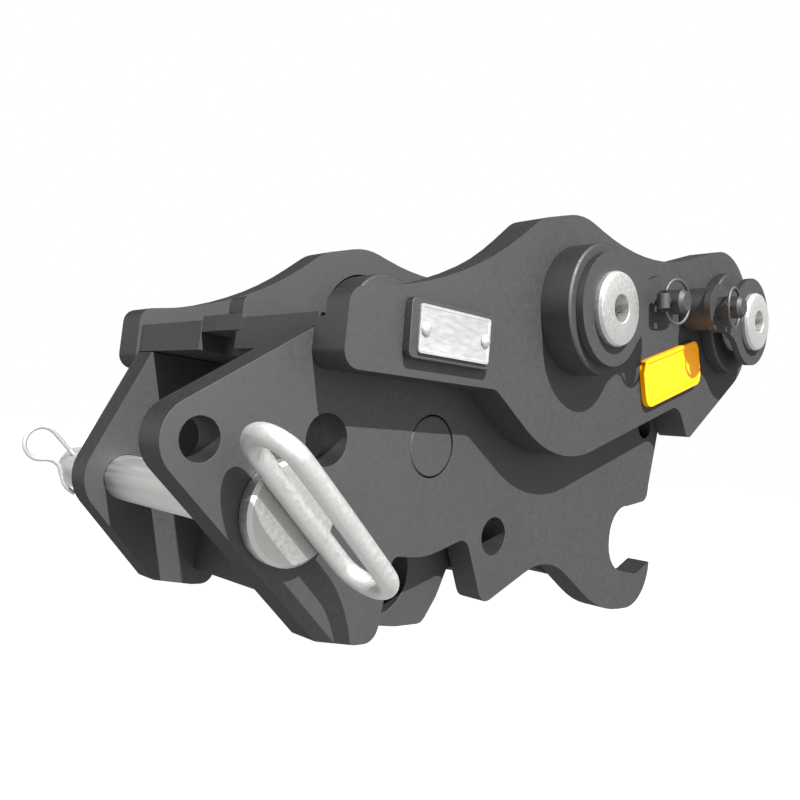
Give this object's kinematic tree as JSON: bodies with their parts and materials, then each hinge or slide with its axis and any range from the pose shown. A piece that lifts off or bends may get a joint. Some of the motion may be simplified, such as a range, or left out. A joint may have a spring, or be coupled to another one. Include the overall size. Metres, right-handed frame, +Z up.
{
  "type": "quick coupler",
  "caption": "Pin-grabber quick coupler for an excavator: two side plates with a front hook, a swinging rear jaw with cylinder, keepered machine pins and a safety pin.",
  "frame": {"origin": "centre of the footprint of the bounding box, at the height of the toe and hook on which the coupler stands", "axes": "+X forwards to the front hook and the link pin, +Y to the far side without keepers, +Z up"},
  "size_m": [0.9368, 0.5184, 0.511],
  "materials": {
    "body_paint": "satin dark grey paint on plate steel, worn at the edges",
    "cylinder_paint": "satin dark grey paint",
    "pin_steel": "light zinc-nickel plated steel, finely brushed",
    "hardware_zinc": "dull zinc plating",
    "rod_chrome": "ground hard chrome",
    "bush_bronze": "plain bronze",
    "nameplate_pad": "dark satin paint",
    "nameplate_metal": "brushed blank plate and domed rivets",
    "badge_yellow": "yellow enamel"
  },
  "bodies": {
    "coupler_body": {"near_side_plate": "body_paint", "far_side_plate": "body_paint", "near_cheek": "body_paint", "far_cheek": "body_paint", "rear_cross_plate": "body_paint", "lift_bar": "body_paint", "lifting_lug": "body_paint", "near_stick_boss": "body_paint", "far_stick_boss": "body_paint", "near_link_boss": "body_paint", "far_link_boss": "body_paint", "stick_keeper_plate": "body_paint", "link_keeper_plate": "body_paint", "stick_keeper_spacer": "body_paint", "link_keeper_spacer": "body_paint", "stick_keeper_pin": "body_paint", "link_keeper_pin": "body_paint", "jaw_pivot_pin": "body_paint", "rear_toe_plate": "body_paint", "front_hook_block": "body_paint", "near_base_spacer": "cylinder_paint", "far_base_spacer": "cylinder_paint", "stick_pin": "pin_steel", "link_pin": "pin_steel", "stick_lynch_pin": "hardware_zinc", "link_lynch_pin": "hardware_zinc", "near_jaw_washer": "hardware_zinc", "far_jaw_washer": "hardware_zinc", "cylinder_base_pin": "hardware_zinc", "near_base_circlip": "hardware_zinc", "far_base_circlip": "hardware_zinc", "nameplate_pad": "nameplate_pad", "nameplate": "nameplate_metal", "nameplate_rivet_rear": "nameplate_metal", "nameplate_rivet_front": "nameplate_metal", "badge": "badge_yellow"},
    "jaw": {"jaw": "body_paint", "rod_pin": "hardware_zinc"},
    "cylinder": {"cylinder_barrel": "cylinder_paint", "cylinder_gland": "hardware_zinc", "base_eye_bush": "bush_bronze", "base_port": "hardware_zinc", "rod_port": "hardware_zinc"},
    "rod": {"cylinder_rod": "rod_chrome", "cylinder_piston": "hardware_zinc", "rod_eye_bush": "bush_bronze"},
    "safety_pin": {"safety_pin": "pin_steel", "safety_pin_handle": "pin_steel"},
    "hairpin_clip": {"hairpin_clip": "hardware_zinc"},
    "stick_lynch_ring": {"stick_lynch_ring": "hardware_zinc"},
    "link_lynch_ring": {"link_lynch_ring": "hardware_zinc"}
  },
  "joints": [
    {"name": "jaw_swing", "type": "hinge", "parent": "coupler_body", "child": "jaw", "pos_m": [-0.18077, 0.01125, 0.1835], "axis": [0, -1, 0], "range_deg": [0, 28]},
    {"name": "cylinder_swing", "type": "hinge", "parent": "coupler_body", "child": "cylinder", "pos_m": [0.24343, 0.01125, 0.245], "axis": [0, -1, 0], "range_deg": [-3.8, 0]},
    {"name": "rod_slide", "type": "slide", "parent": "cylinder", "child": "rod", "axis": [-0.9415, 0, -0.337], "range_m": [-0.037, 0]},
    {"name": "safety_pin_pull", "type": "slide", "parent": "coupler_body", "child": "safety_pin", "axis": [0, -1, 0], "range_m": [0, 0.04]},
    {"name": "hairpin_pull", "type": "slide", "parent": "safety_pin", "child": "hairpin_clip", "axis": [-0.7314, 0, 0.682], "range_m": [0, 0.07]},
    {"name": "stick_ring_flip", "type": "hinge", "parent": "coupler_body", "child": "stick_lynch_ring", "pos_m": [0.06751, -0.24375, 0.37409], "axis": [0.1564, 0, -0.9877], "range_deg": [-7, 134]},
    {"name": "link_ring_flip", "type": "hinge", "parent": "coupler_body", "child": "link_lynch_ring", "pos_m": [0.2821, -0.24375, 0.40927], "axis": [-0.1392, 0, 0.9903], "range_deg": [-6, 142]}
  ],
  "couplings": [
    {"joint": "cylinder_swing", "follows": "jaw_swing", "ratio": -0.132},
    {"joint": "rod_slide", "follows": "jaw_swing", "m_per_rad": -0.0749}
  ]
}
